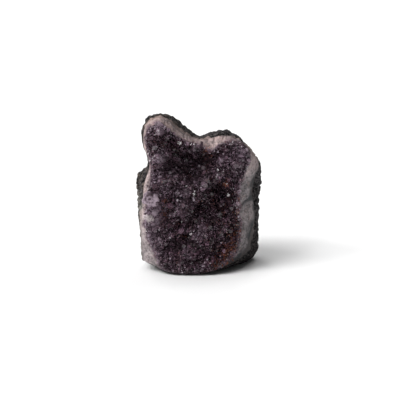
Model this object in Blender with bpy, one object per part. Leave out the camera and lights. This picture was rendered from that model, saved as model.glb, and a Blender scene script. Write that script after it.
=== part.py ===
"""A chunk of amethyst geode, standing on its sawn base.

Two solids that formed one after the other: the dark basalt rind, and the quartz crust that lines it,
whose pale roots show round the edge and whose purple points cover the front.

The front faces -Y, up is +Z, and the origin is on the floor under the middle of the chunk.
Every outline is a closed loop of (x, y, z) points in millimetres, clockwise from the top as seen from
the front. A solid is a ball whose meridians are bent to run from loop to loop.
"""

import math

import bmesh
import bpy
import numpy as np
from mathutils import Matrix, Vector

MM = 0.001

# ---------------------------------------------------------------- driving dimensions, millimetres

AXIS_HEIGHT = 90.0  # the meridians' poles lie on a line along Y at this height
LINING_GAP = 0.3  # between the rind and the crust
BACK_DEPTH = 50.0  # y of the furthest point of the back
SEAT_DEPTH = 24.0  # y of the deepest point of the quartz, inside the rind
FRONT_DEPTH = -24.0  # y of the middle of the crystal face, before its knolls and hollows
SAW_OVERSIZE = 60.0  # how far the block that saws the base flat reaches past the chunk

SEGMENTS = 60  # meridians of each solid
FACE_RINGS = 20  # rings of points across the crystal face
BAND_RINGS = 3  # across the pale roots
SEAT_RINGS = 8  # over the back of the crust, and the same over the seat of the rind
LIP_RINGS = 4  # from the rim to the girth
BACK_RINGS = 16  # from the girth to the pole of the back
SHARP_ANGLE = math.radians(40)  # between faces that meet at more than this, the edge is drawn sharp

# Edge of the purple points, where the pale roots of the quartz begin.
POINTS_EDGE = (
    (-46, -24, 188), (-34, -23, 177), (-18, -23, 165), (1, -22, 159), (15, -22, 153), (30, -20, 162),
    (47, -17, 160), (57, -15, 155), (61, -18, 138), (52, -24, 116), (49, -28, 90), (49, -29, 65),
    (49, -31, 46), (44, -34, 30), (34, -39, 18), (21, -43, 9), (0, -46, 6), (-24, -46, 6),
    (-44, -42, 9), (-53, -39, 22), (-60, -36, 40), (-65, -34, 58), (-65, -32, 80), (-62, -30, 104),
    (-58, -27, 132), (-62, -25, 154), (-63, -25, 172), (-57, -24, 184),
)
# Front edge of the basalt, where it meets the pale quartz.
RIM = (
    (-49, -13, 192), (-38, -12, 189), (-24, -12, 176), (-4, -10, 165), (11, -8, 164), (28, -6, 168),
    (43, -4, 165), (56, -2, 156), (67, 0, 142), (74, 3, 128), (70, 2, 115), (66, 0, 94),
    (69, 2, 74), (70, 2, 59), (65, -4, 40), (59, -14, 23), (45, -29, 13), (28, -38, 8),
    (8, -45, 4), (-24, -45, 3), (-42, -42, 5), (-57, -36, 11), (-66, -30, 14), (-70, -28, 19),
    (-70, -28, 40), (-71, -27, 60), (-69, -26, 85), (-67, -24, 110), (-60, -23, 137), (-67, -22, 160),
    (-66, -20, 178), (-61, -17, 187),
)
# The basalt where it is widest. Under the floor it stands for the stone that the saw took off.
GIRTH = (
    (-53, 8, 191), (-43, 9, 190.5), (-33, 9, 188), (-23, 9, 181), (-13, 8, 170), (1, 7, 161),
    (16, 8, 167), (34, 11, 169), (49, 11, 161), (63, 10, 147), (75, 15, 127), (77, 18, 108),
    (75, 19, 80), (76, 19, 50), (76, 18, 25), (73, 12, 11), (66, 6, 4), (52, 0, -4),
    (24, -2, -18), (-16, -2, -22), (-44, -3, -11), (-57, -6, 2), (-67, -9, 8), (-71.5, -10, 16),
    (-73, -7, 45), (-75, -1, 64), (-76, 2, 90), (-77, 3, 111), (-72, 1, 118), (-65, -4, 124),
    (-61, -8, 135), (-68, -7, 160), (-70, -3, 172), (-67, 1, 180), (-64, 5, 187),
)
BAND_BULGE = 1.0  # how far the pale roots stand proud of a straight line between their two edges
LIP_BULGE = 1.5  # and the basalt between its rim and its girth
SEAT_BEND = 2.6  # power of the curve that closes the crust behind: 2 is an ellipse, more is boxier
BACK_BEND = 2.5  # and of the one that closes the back
# Knolls of the crystal face: (x, z, radius, height towards the viewer). A hollow's height is below 0.
KNOLLS = (
    (-50, 160, 13, 5), (-46, 146, 15, 5), (-40, 112, 17, 8), (-61, 92, 9, 5), (1, 103, 14, 9),
    (12, 114, 11, 5), (-21, 78, 15, 8), (11, 46, 20, 9), (40, 136, 17, 8), (-48, 50, 16, 5),
    (-24, 16, 18, 3), (33, 58, 13, 5),
    (-10, 138, 20, -13), (-34, 133, 11, -7), (29, 86, 15, -9), (2, 79, 9, -7), (-49, 75, 9, -5),
    (-16, 40, 10, -5), (20, 22, 11, -4), (8, 144, 14, -8),
)
KNOLL_FADE = 6  # power of the share of the way out at which knolls fade to nothing at the edge
# The larger amethyst points that stand out of the crystal face: (x, z, width across flats).
LARGE_POINTS = (
    (-60, 91, 12), (-58, 79, 10), (-47, 178, 12), (-38, 171, 9), (7, 113, 10), (1, 101, 9),
    (44, 137, 10), (52, 146, 8), (10, 49, 10), (-21, 17, 9),
)
# Between them, points on a sunflower spiral: how many, and (least, most) width across flats.
SPIRAL_POINTS = 50
SPIRAL_REACH = 0.94  # of the way out to the edge of the points
SPIRAL_WIDTHS = (6.5, 9.5)
GOLDEN_ANGLE = math.pi * (3 - math.sqrt(5))
POINT_STEEPNESS = 1.27  # height over half width of the six-sided tip, a rhombohedral face at 51.8 degrees
POINT_STAND = 0.35  # length of the straight shaft showing, over the width
POINT_ROOT = 7.0  # how deep a large point's shaft is rooted in the crust
NUDGE = 0.5  # between the places that the face's slope is read from
POINT_LEAN = 0.35  # sideways lean of a point's axis, as a tangent
# Size and height of the swells in the basalt's skin: (millimetres across, millimetres proud).
SWELLS = ((46.0, 3.6), (19.0, 2.2))
SWELL_AT_GIRTH = 0.2  # share of the swells that the outline seen from the front keeps
# The egg that the back's outline softens into towards its pole: (half width, height above, depth below).
BACK_EGG = (70.0, 80.0, 128.0)
SEAT_EGG = 84.0  # the most that the quartz reaches from the axis line as it nears its deepest point
# Broken faces of the back: (direction they face, distance from the middle of the chunk).
CHIPS = (
    ((0.55, 0.80, 0.22), 58.0), ((-0.62, 0.74, 0.26), 60.0), ((0.10, 0.72, 0.69), 69.0),
    ((-0.75, 0.60, -0.28), 75.0), ((0.70, 0.62, -0.36), 90.0), ((-0.15, 0.97, -0.20), 47.0),
    ((-0.35, 0.60, 0.72), 95.0), ((0.60, 0.50, 0.63), 82.0), ((0.30, 0.90, -0.32), 62.0),
)
CHIP_SHARE = 0.8  # how far a broken face takes the stone back to its plane


# ---------------------------------------------------------------- outlines and surfaces


def smooth_loop(points, steps=24):
    """Points along the closed Catmull-Rom curve through the given ones, as an array."""
    corners = np.array(points, float)
    before, after, beyond = (np.roll(corners, shift, 0) for shift in (1, -1, -2))
    t = (np.arange(steps) / steps)[None, :, None]
    curve = 0.5 * (
        2 * corners[:, None]
        + (after - before)[:, None] * t
        + (2 * before - 5 * corners + 4 * after - beyond)[:, None] * t**2
        + (3 * corners - before - 3 * after + beyond)[:, None] * t**3
    )
    return curve.reshape(-1, 3)


def loop_at(points, angle):
    """(radius, y) of a loop at each angle, which is clockwise from straight up about the axis line."""
    curve = smooth_loop(points)
    along = np.arctan2(curve[:, 0], curve[:, 2] - AXIS_HEIGHT)
    order = np.argsort(along)
    radius = np.hypot(curve[:, 0], curve[:, 2] - AXIS_HEIGHT)
    return (
        np.interp(angle, along[order], radius[order], period=2 * math.pi),
        np.interp(angle, along[order], curve[order, 1], period=2 * math.pi),
    )


def hashed(cell):
    """A number from -1 to 1 for each whole-numbered cell of space, the same on every run."""
    mixed = np.sin(cell @ np.array([127.1, 311.7, 74.7])) * 43758.5453
    return 2 * (mixed - np.floor(mixed)) - 1


def swell(points, size):
    """Smooth noise from -1 to 1: the cells' numbers, blended between the eight nearest corners."""
    place = points / size
    corner = np.floor(place)
    share = place - corner
    share = share * share * (3 - 2 * share)
    total = np.zeros(len(points))
    for step in np.ndindex(2, 2, 2):
        weight = np.prod(np.where(np.array(step), share, 1 - share), axis=1)
        total += weight * hashed(corner + np.array(step))
    return total


def knolls_at(x, z):
    """How far the knolls and hollows push the crystal face towards the viewer."""
    return sum(
        height * np.exp(-((x - knoll_x) ** 2 + (z - knoll_z) ** 2) / radius**2)
        for knoll_x, knoll_z, radius, height in KNOLLS
    )


def eased(share):
    """A share whose steps shrink towards 1, so that rings crowd where a bowl turns."""
    return np.sin(0.5 * math.pi * np.clip(share, 0, 1))


def bowl(share, bend):
    """Radius left, from 1 down to 0, at a share of the way from a loop to the pole behind it."""
    return np.maximum(1 - share**bend, 0) ** (1 / bend)


def on_axis(angle, radius, y):
    """Points at this angle and radius about the axis line."""
    return np.stack([radius * np.sin(angle), y, AXIS_HEIGHT + radius * np.cos(angle)], axis=-1)


def crystal_face(angle, share):
    """The front of the crust: a dish from its middle (share 0) to the edge of the points (share 1)."""
    edge_radius, edge_y = loop_at(POINTS_EDGE, angle)
    y = FRONT_DEPTH + (edge_y - FRONT_DEPTH) * share**2
    face = on_axis(angle, edge_radius * share, y)
    face[:, 1] -= knolls_at(face[:, 0], face[:, 2]) * (1 - share**KNOLL_FADE)
    return face


def between(angle, first, second, share, bulge):
    """Points a share of the way from one loop to another, standing proud by up to a bulge."""
    radius_1, y_1 = loop_at(first, angle)
    radius_2, y_2 = loop_at(second, angle)
    proud = bulge * np.sin(math.pi * share)
    return on_axis(
        angle,
        radius_1 + (radius_2 - radius_1) * share + proud,
        y_1 + (y_2 - y_1) * share - 0.5 * proud,
    )


def behind(angle, loop, depth, share, bend, gap=0.0, egg_limit=math.inf):
    """Points from a loop back to a pole at this depth, along a rounded bowl, a gap outside it.

    The loop's outline softens into an egg on the way, so that its corners don't meet in a star.
    """
    radius, y = loop_at(loop, angle)
    half_width, above, below = BACK_EGG
    height = np.where(np.cos(angle) > 0, above, below)
    egg = 1 / np.hypot(np.sin(angle) / half_width, np.cos(angle) / height)
    radius = radius + (np.minimum(egg, egg_limit) - radius) * share**2
    return on_axis(angle, (radius + gap) * bowl(share, bend), y + (depth + gap - y) * share)


def chipped(points, share):
    """Stone beyond each broken face's plane, taken back to it by a share of the way."""
    middle = np.array([0.0, 0.0, AXIS_HEIGHT])
    for facing, distance in CHIPS:
        normal = np.array(facing) / np.linalg.norm(facing)
        beyond = np.maximum((points - middle) @ normal - distance, 0)
        points = points - (share * beyond)[:, None] * normal
    return points


def crust_point(angle, ring):
    """The quartz crust, from the middle of its front (ring 0) round its edge to its back."""
    band_ring = ring - FACE_RINGS
    seat_ring = band_ring - BAND_RINGS
    band_share = np.clip(band_ring / BAND_RINGS, 0, 1)
    return pieced(
        (band_ring <= 0, crystal_face(angle, np.clip(ring / FACE_RINGS, 0, 1))),
        (seat_ring <= 0, between(angle, POINTS_EDGE, RIM, band_share, BAND_BULGE)),
        (seat_ring > 0, seat(angle, seat_ring / SEAT_RINGS, gap=0.0)),
    )


def seat(angle, share, gap):
    """The back of the crust, from the rim (share 0) to its deepest point (share 1), or a gap behind it."""
    return behind(angle, RIM, SEAT_DEPTH, eased(share), SEAT_BEND, gap, egg_limit=SEAT_EGG)


def rind_point(angle, ring):
    """The basalt rind, from the middle of its seat (ring 0) over its rim to the pole of its back."""
    lip_ring = ring - SEAT_RINGS
    back_ring = lip_ring - LIP_RINGS
    lip_share = np.clip(lip_ring / LIP_RINGS, 0, 1)
    skin = pieced(
        (lip_ring <= 0, seat(angle, 1 - ring / SEAT_RINGS, LINING_GAP)),
        (back_ring <= 0, between(angle, RIM, GIRTH, lip_share, LIP_BULGE)),
        (back_ring > 0, behind(angle, GIRTH, BACK_DEPTH, eased(back_ring / BACK_RINGS), BACK_BEND)),
    )
    back_share = np.clip(2 * back_ring / BACK_RINGS, 0, 1)
    skin = chipped(skin, CHIP_SHARE * back_share)
    outwards = skin - np.array([0.0, 0.0, AXIS_HEIGHT])
    outwards /= np.linalg.norm(outwards, axis=1, keepdims=True)
    lift = sum(proud * swell(skin, across) for across, proud in SWELLS)
    lift *= lip_share * (SWELL_AT_GIRTH + (1 - SWELL_AT_GIRTH) * back_share)
    return skin + outwards * lift[:, None]


def pieced(*stretches):
    """Each point from the first stretch whose condition it meets."""
    result = stretches[-1][1].copy()
    for holds, points in reversed(stretches[:-1]):
        result[holds] = points[holds]
    return result


# ---------------------------------------------------------------- objects


def stone(name, colour, roughness):
    """A plain stone finish."""
    material = bpy.data.materials.new(name)
    material.use_nodes = True
    shader = material.node_tree.nodes["Principled BSDF"]
    shader.inputs["Base Color"].default_value = (*colour, 1.0)
    shader.inputs["Roughness"].default_value = roughness
    material.diffuse_color = (*colour, 1.0)
    return material


def bent_ball(name, rings, surface, material, collection):
    """A UV ball with its poles along Y, whose meridians follow surface(angle, ring) from pole to pole."""
    mesh = bpy.data.meshes.new(name)
    ball = bmesh.new()
    bmesh.ops.create_uvsphere(ball, u_segments=SEGMENTS, v_segments=rings, radius=1.0)
    places = np.array([vertex.co for vertex in ball.verts])
    angle = np.arctan2(places[:, 0], places[:, 1])
    ring = np.arccos(np.clip(places[:, 2], -1, 1)) / math.pi * rings
    for vertex, place in zip(ball.verts, surface(angle, np.round(ring)) * MM):
        vertex.co = place
    bmesh.ops.triangulate(ball, faces=ball.faces)
    ball.to_mesh(mesh)
    ball.free()
    mesh.materials.append(material)
    mesh.shade_smooth()
    mesh.set_sharp_from_angle(angle=SHARP_ANGLE)
    piece = bpy.data.objects.new(name, mesh)
    collection.objects.link(piece)
    return piece


def surface_under(x, z):
    """The crystal face's point and outward direction at this x and z."""
    spread = np.array([(x, z), (x + NUDGE, z), (x, z + NUDGE)])
    angle = np.arctan2(spread[:, 0], spread[:, 1] - AXIS_HEIGHT)
    radius = np.hypot(spread[:, 0], spread[:, 1] - AXIS_HEIGHT)
    edge_radius, _ = loop_at(POINTS_EDGE, angle)
    point, right, up = crystal_face(angle, np.minimum(radius / edge_radius, 1.0))
    normal = np.cross(right - point, up - point)
    return point, normal / np.linalg.norm(normal)


def large_point(number, x, z, width, collection):
    """A six-sided amethyst point rooted in the crust, as a closed mesh that the crust is joined to."""
    foot, normal = surface_under(x, z)
    lean = POINT_LEAN * hashed(np.array([[number, 1, 0], [number, 0, 1], [number, 1, 1]], float))
    axis = Vector(normal + lean).normalized()
    half = 0.5 * width / math.cos(math.pi / 6)
    shaft = POINT_ROOT + POINT_STAND * width
    tip = POINT_STEEPNESS * 0.5 * width
    crystal = bmesh.new()
    bmesh.ops.create_cone(
        crystal, cap_ends=True, segments=6, radius1=half * MM, radius2=half * MM, depth=shaft * MM
    )
    bmesh.ops.translate(crystal, verts=crystal.verts, vec=(0, 0, 0.5 * shaft * MM))
    top = max(crystal.faces, key=lambda face: face.calc_center_median().z)
    apex = bmesh.ops.poke(crystal, faces=[top])["verts"][0]
    apex.co.z += tip * MM
    turn = axis.to_track_quat("Z", "X").to_matrix().to_4x4()
    root = Vector((foot - POINT_ROOT * np.array(axis)) * MM)
    crystal.transform(Matrix.Translation(root) @ turn)
    mesh = bpy.data.meshes.new(f"large_point_{number:02d}")
    crystal.to_mesh(mesh)
    crystal.free()
    piece = bpy.data.objects.new(mesh.name, mesh)
    piece.hide_render = True
    piece.display_type = "WIRE"
    collection.objects.link(piece)
    return piece


def spiral_points():
    """(x, z, width) of the points on the sunflower spiral, which keeps them evenly apart."""
    narrow, wide = SPIRAL_WIDTHS
    number = np.arange(SPIRAL_POINTS)
    angle = GOLDEN_ANGLE * number
    reach = SPIRAL_REACH * np.sqrt((number + 0.5) / SPIRAL_POINTS)
    edge_radius, _ = loop_at(POINTS_EDGE, np.mod(angle + math.pi, 2 * math.pi) - math.pi)
    x = edge_radius * reach * np.sin(angle)
    z = AXIS_HEIGHT + edge_radius * reach * np.cos(angle)
    width = narrow + (wide - narrow) * (0.5 + 0.5 * hashed(np.stack([number, number, number], axis=1)))
    return list(zip(x, z, width))


def join_large_points(crust, collection):
    """Unites the crust with its larger points, so that they are one solid, as they grew."""
    grown = new_collection("large_points", collection)
    for number, (x, z, width) in enumerate([*LARGE_POINTS, *spiral_points()]):
        large_point(number, x, z, width, grown)
    join = crust.modifiers.new("large_points", "BOOLEAN")
    join.operation = "UNION"
    join.solver = "EXACT"
    join.operand_type = "COLLECTION"
    join.collection = grown


def saw_block(collection):
    """The block under the floor that saws the base flat."""
    reach = 2 * (BACK_DEPTH + SAW_OVERSIZE)
    bpy.ops.mesh.primitive_cube_add(size=1.0, location=(0, 0, -0.5 * SAW_OVERSIZE * MM))
    block = bpy.context.object
    block.name = "saw_block"
    block.scale = (reach * MM, reach * MM, SAW_OVERSIZE * MM)
    block.hide_render = True
    block.display_type = "WIRE"
    for owner in list(block.users_collection):
        owner.objects.unlink(block)
    collection.objects.link(block)
    return block


def new_collection(name, parent=None):
    collection = bpy.data.collections.new(name)
    (parent or bpy.context.scene.collection).children.link(collection)
    return collection


def main():
    for old in list(bpy.data.objects):
        bpy.data.objects.remove(old, do_unlink=True)
    chunk = new_collection("amethyst_chunk")
    cutters = new_collection("cutters")

    basalt = stone("basalt", (0.045, 0.043, 0.042), 0.85)
    amethyst = stone("amethyst", (0.11, 0.055, 0.13), 0.25)

    rind = bent_ball("basalt_rind", SEAT_RINGS + LIP_RINGS + BACK_RINGS, rind_point, basalt, chunk)
    saw = rind.modifiers.new("sawn_base", "BOOLEAN")
    saw.operation = "DIFFERENCE"
    saw.solver = "EXACT"
    saw.object = saw_block(cutters)

    crust = bent_ball("quartz_crust", FACE_RINGS + BAND_RINGS + SEAT_RINGS, crust_point, amethyst, chunk)
    join_large_points(crust, cutters)


main()
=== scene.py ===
"""The looks of a chunk of amethyst geode: knobbly basalt, streaked quartz and a druse of purple points.

Lengths are in millimetres until they go into a mesh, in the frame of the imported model: the crystals face
-Y, up is +Z and the floor is at z = 0. The outlines are closed loops of (x, y, z) points, clockwise from
the top as seen from the front, and within a few millimetres of the ones that the solids were made from.
"""

import math

import bmesh
import bpy
import numpy as np
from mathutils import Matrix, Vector


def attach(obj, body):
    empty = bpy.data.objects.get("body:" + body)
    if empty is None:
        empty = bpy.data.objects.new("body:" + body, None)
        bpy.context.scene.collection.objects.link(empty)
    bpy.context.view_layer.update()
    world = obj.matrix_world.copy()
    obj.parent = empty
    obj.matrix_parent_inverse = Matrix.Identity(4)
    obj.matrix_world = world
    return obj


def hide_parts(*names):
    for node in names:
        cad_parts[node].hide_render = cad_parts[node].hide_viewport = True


MM = 0.001

# ---- sizes that the solids have too

AXIS_HEIGHT = 90.0  # of the line along Y that the surfaces are worked out about
MIDDLE = np.array([0, 0, AXIS_HEIGHT])
LINING_GAP = 0.3  # between crust and rind
BACK_DEPTH = 50.0  # y of the rind's back
SEAT_DEPTH = 24.0  # y of the crust's back
FRONT_DEPTH = -24.0  # y of the middle of the crystal face
POINTS_EDGE = (  # where the purple points end
    (-46, -24, 188), (-34, -23, 177), (-18, -23, 165), (1, -22, 159), (15, -22, 153), (30, -20, 162),
    (47, -17, 160), (57, -15, 155), (61, -18, 138), (52, -24, 116), (49, -28, 90), (49, -29, 65),
    (49, -31, 46), (44, -34, 30), (34, -39, 18), (21, -43, 9), (0, -46, 6), (-24, -46, 6),
    (-44, -42, 9), (-53, -39, 22), (-60, -36, 40), (-65, -34, 58), (-65, -32, 80), (-62, -30, 104),
    (-58, -27, 132), (-62, -25, 154), (-63, -25, 172), (-57, -24, 184),
)
RIM = (  # where quartz meets basalt
    (-49, -13, 192), (-38, -12, 189), (-24, -12, 176), (-4, -10, 165), (11, -8, 164), (28, -6, 168),
    (43, -4, 165), (56, -2, 156), (67, 0, 142), (74, 3, 128), (70, 2, 115), (66, 0, 94),
    (69, 2, 74), (70, 2, 59), (65, -4, 40), (59, -14, 23), (45, -29, 13), (28, -38, 8),
    (8, -45, 4), (-24, -45, 3), (-42, -42, 5), (-57, -35, 10.5), (-67, -29, 12.2), (-70, -28, 18),
    (-70, -28, 40), (-71, -27, 60), (-69, -26, 85), (-67, -24, 110), (-60, -23, 137), (-67, -22, 160),
    (-66, -20, 178), (-61, -17, 187),
)
GIRTH = (  # the widest line of the basalt
    (-53, 8, 191), (-43, 9, 190), (-33, 9, 187.2), (-23, 9, 180.4), (-13, 8, 170), (1, 7, 161),
    (16, 8, 167), (34, 11, 169), (49, 11, 161), (62.2, 10, 146), (75, 15, 127), (78, 18, 108),
    (76, 19, 80), (76, 19, 50), (76, 18, 25), (76.2, 16, 15), (74.5, 15, 9), (68.5, 11, 3.2), (52, 0, -5),
    (24, -2, -18), (-16, -2, -22), (-44, -3, -11), (-57, -6, 5.5), (-67, -9, 11), (-71, -10, 16),
    (-73, -7, 45), (-75, -1, 64), (-75.5, 2, 90), (-76, 3, 111), (-72, 1, 118), (-65, -4, 124),
    (-61.6, -8, 135), (-68, -7, 160), (-70, -3, 172), (-67, 1, 180), (-64, 5, 187),
)
BAND_BULGE = 1.0  # how far the pale roots stand proud of straight from edge to edge
LIP_BULGE = 1.5  # and the basalt between its rim and its girth
SEAT_BEND = 2.6  # power of the curve that closes the crust: 2 is an ellipse
BACK_BEND = 2.5  # and of the one that closes the back
KNOLLS = (  # and hollows of the crystal face: (x, z, radius, height towards -Y)
    (-50, 160, 13, 5), (-46, 146, 15, 5), (-40, 112, 17, 8), (-61, 92, 9, 5), (1, 103, 14, 9),
    (12, 114, 11, 5), (-21, 78, 15, 8), (11, 46, 20, 9), (40, 136, 17, 8), (-48, 50, 16, 5),
    (-24, 16, 18, 3), (33, 58, 13, 5),
    (-10, 138, 20, -13), (-34, 133, 11, -7), (29, 86, 15, -9), (2, 79, 9, -7), (-49, 75, 9, -5),
    (-16, 40, 10, -5), (20, 22, 11, -4), (8, 144, 14, -8),
)
KNOLL_FADE = 6  # power of the share of the way out, by which knolls fade
LARGE_POINTS = (  # (x, z, width across flats)
    (-60, 91, 12), (-58, 79, 10), (-47, 178, 12), (-38, 171, 9), (7, 113, 10), (1, 101, 9),
    (44, 137, 10), (52, 146, 8), (10, 49, 10), (-21, 17, 9),
)
SPIRAL_POINTS = 50  # more large points, on a sunflower spiral
SPIRAL_REACH = 0.94  # share of the way out
SPIRAL_WIDTHS = (6.5, 9.5)
GOLDEN_ANGLE = math.pi * (3 - math.sqrt(5))
POINT_STEEPNESS = 1.27  # tangent of the slope of the tip faces
POINT_STAND = 0.35  # of a large point's shoulder, of its width
POINT_LEAN = 0.35
SWELLS = ((46.0, 3.6), (19.0, 2.2))  # of the basalt: (millimetres across, millimetres proud)
SWELL_AT_GIRTH = 0.2
BACK_EGG = (70.0, 80.0, 128.0)  # half width, height above the axis and below it
SEAT_EGG = 84.0
CHIPS = (  # broken faces of the back: (the way it faces, millimetres from the middle)
    ((0.55, 0.8, 0.22), 58), ((-0.62, 0.74, 0.26), 60), ((0.1, 0.72, 0.69), 69),
    ((-0.75, 0.6, -0.28), 75), ((0.7, 0.62, -0.36), 90), ((-0.15, 0.97, -0.2), 47),
    ((-0.35, 0.6, 0.72), 95), ((0.6, 0.5, 0.63), 82), ((0.3, 0.9, -0.32), 62),
)
CHIP_SHARE = 0.8  # how far they are broken back

# ---- sizes of the finish

COLUMNS = 640  # meridians of each skin
SEAT_RINGS = 4  # where rind and crust touch and nothing shows
LIP_RINGS = 36
BACK_RINGS = 104
FACE_RINGS = 60
BAND_RINGS = 20
BED_DEPTH = 3.5  # how far the bed of the points lies under the face that their tips reach
LUMPS = ((8.0, 4.3), (4.2, 2.4), (2.2, 1.2))  # (millimetres across, millimetres proud)
LUMP_LEVEL = 0.72  # what is level with smooth stone
LUMP_FADE = 0.1  # share of the way to the girth over which they rise
LUMP_WANDER = (6.0, 1.2)  # how their places are bent: (millimetres across, millimetres)
COAT_CALM = 0.6  # how much flatter they are under the pale coat of the sides and the foot
COAT_FADE = 6.0
BACK_REACH = 40.0  # what the back adds to the distance from the rim
STREAK_WIDTH = 2.0  # of the columns of the pale band
STREAK_PROUD = 0.8
BAND_RADIUS = 85.0  # of the circle they are spread round
BAND_LUMPS = (3.2, 0.9)  # (millimetres across, millimetres proud)
BAND_LUMP_LEVEL = 0.75
KNOB_WIDTH = 11.0  # of the knobs that the druse is bunched into
KNOB_PROUD = 2.6
KNOB_LEVEL = 0.75
POINT_SHAPES = 16  # cut differently and used over and over
FIRST_CUT = 100  # seed of the first of them
SIDE_VARIES = (0.88, 1.1)
TIP_VARIES = 0.1
MINOR_TIPS = (0.05, 0.45)  # how much further out every other tip face lies
ROOT_LENGTH = 1.9  # of its width
FRONT_WIDTH = 160.0  # of what small points are strewn over
FRONT_HEIGHT = 200.0
SMALL_SPACING = 2.6  # between the feet of neighbouring small points
SMALL_WIDTHS = (2.4, 5.8)
TINY_SPACING = 1.8
TINY_WIDTHS = (1.4, 2.8)
SMALL_LEAN = 0.34
SMALL_DROOP = (0, -0.4, 0)  # turns every small point a little towards -Y
SMALL_LIFT = 0.9  # how far a tip may stand above or below the face
EDGE_SPILL = (-3.0, 2.5)  # how far short of their reach the points stop, or pass it
EDGE_SHRINK = 0.45  # how much narrower they are out over the band
POINT_CLEARANCE = 0.24  # of a large point's width, within which no small one stands
LARGE_SHRINK = 0.8  # of the solid's width
LARGE_SINK = 1.2  # below the solid's
LARGE_PALE = 0.6  # of a small one's
DARK_FAVOUR = 2.2  # power that makes dark points the commonest
GLINT_SHARE = 0.17  # of the small points on the knobs, painted pale as glints
GLINT_WIDTH = 2.7
FLOOR_GAP = 2.2  # least height of a crystal over the floor
UNDERCUT = (9.0, 5.0)  # how far the foot draws back in front, and from what height down
LEAST_BAND = 1.5  # the band counts as at least this wide
# Round the band, by degrees clockwise from the top: how far in millimetres the points reach beyond their
# edge, paleness, millimetres in from the rim over which the band darkens, how clear the columns are,
# warmth, millimetres of pale stone out over the basalt, and how light the basalt is: darker where that is
# under 1, and painted shade at the foot on the right, where it is lowest, with pale dust on it where that
# is over 1.
BAND_FINISH = (
    (-180, 8, 0.35, 1, 0.2, 0.4, 0, 0.6), (-165, 8, 0.4, 1, 0.2, 0.4, 0, 0.7),
    (-155, 4, 0.5, 1, 0.2, 0.4, 0, 0.8), (-146, 1, 0.66, 0.5, 0.2, 0.3, 0, 1),
    (-135, 0.5, 0.74, 0.5, 0.2, 0.3, 4, 1.1), (-125, 2, 0.8, -3, 0.2, 0.35, 11, 1.2),
    (-119, 0, 0.88, -3, 0.2, 0.4, 12, 1.2), (-113, 2, 0.9, -3, 0.2, 0.5, 12, 1.2),
    (-105, 1.5, 0.97, -3, 0.2, 0.55, 10, 1.5), (-98, 1, 1, -3, 0.2, 0.6, 7, 1.6),
    (-90, 0, 1.1, -3, 0.2, 0.6, 3, 1.3), (-80, 0, 1.12, -2, 0.2, 0.7, 1.5, 1),
    (-72, 0, 1.12, -2, 0.2, 0.7, 2.5, 1), (-64, -1, 1.1, -2, 0.2, 0.7, 0, 1),
    (-52, 0, 1.08, -2, 0.2, 0.6, 0, 0.9), (-40, 2.5, 0.98, -2, 0.2, 0.7, 0, 0.7),
    (-31, 1, 0.98, -2, 0.3, 1, 6, 0.5), (-26, 0, 0.76, -2, 0.3, 1, 6, 0.6),
    (-20, 1.5, 0.36, 0, 0.4, 1, 8, 0.6), (-8, 2, 0.42, 0, 0.5, 0.9, 5, 0.6),
    (9, 1, 0.7, 0, 0.7, 0.9, 5, 0.7), (17, 1, 0.7, 0.5, 0.9, 0.8, 0.5, 0.6),
    (25, 1, 0.7, 1, 1, 0.8, 0, 0.6), (31, 2, 0.76, 0, 1, 0.8, 3, 0.8),
    (38, 4, 0.8, 0, 0.8, 0.8, 5, 0.9), (46, 4, 1, -2, 0.4, 0.6, 11, 1),
    (54, 2.5, 1, -3, 0.3, 0.6, 13, 1), (60, 1, 0.82, -1, 0.4, 0.5, 5, 1),
    (68, 0.5, 0.29, 3, 0.5, 0.3, 0, 1), (75, 0, 0.26, 3.5, 0.6, 0.15, 0, 1),
    (82, 0, 0.32, 3, 0.5, 0.15, 0, 1), (90, 0.5, 0.38, 4, 0.5, 0.15, 0, 1),
    (99, 1.5, 0.32, 1.5, 0.3, 0.2, 0, 0.9), (108, 0.5, 0.36, 2, 0.2, 0.35, 1, 0.8),
    (116, 3, 0.34, 4, 0.2, 0.3, 2, 0.7), (122, 2.5, 0.32, 4, 0.2, 0.3, 5, 0.6),
    (130, 2.5, 0.31, 3, 0.2, 0.2, 8, 0.5), (138, 3.5, 0.24, 2, 0.15, 0.2, 8, 0.4),
    (146, 4, 0.1, 6, 0.1, 0.2, 4, 0.3), (156, 2, 0.07, 11, 0.1, 0.2, 0, 0.25),
    (166, 6, 0.1, 8, 0.1, 0.4, 0, 0.3), (175, 8, 0.2, 2, 0.1, 0.4, 0, 0.4),
)
REACH, PALENESS, RIM_DARK, COLUMN_CLARITY, WARMTH, COAT, ROCK_SHADE_AND_DUST = range(1, 8)
ROSETTES = (  # (x, z, radius, how pale, how purple)
    (-58.5, 93.5, 9.8, 0.8, 1), (-56, 77, 6.8, 0.68, 1), (-62, 69, 6.4, 1.2, 0),
)
ROSETTE_EYE = (-0.15, 0.2)  # x and z of the middle of the rings, of the radius
ROSETTE_CLEAR = 0.6  # of the radius, within which no point stands
ROSETTE_RINGS = 36
ROSETTE_SPOKES = 72
ROSETTE_STAND = 0.5  # of the radius
ROSETTE_SINK = 2.0
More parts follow.
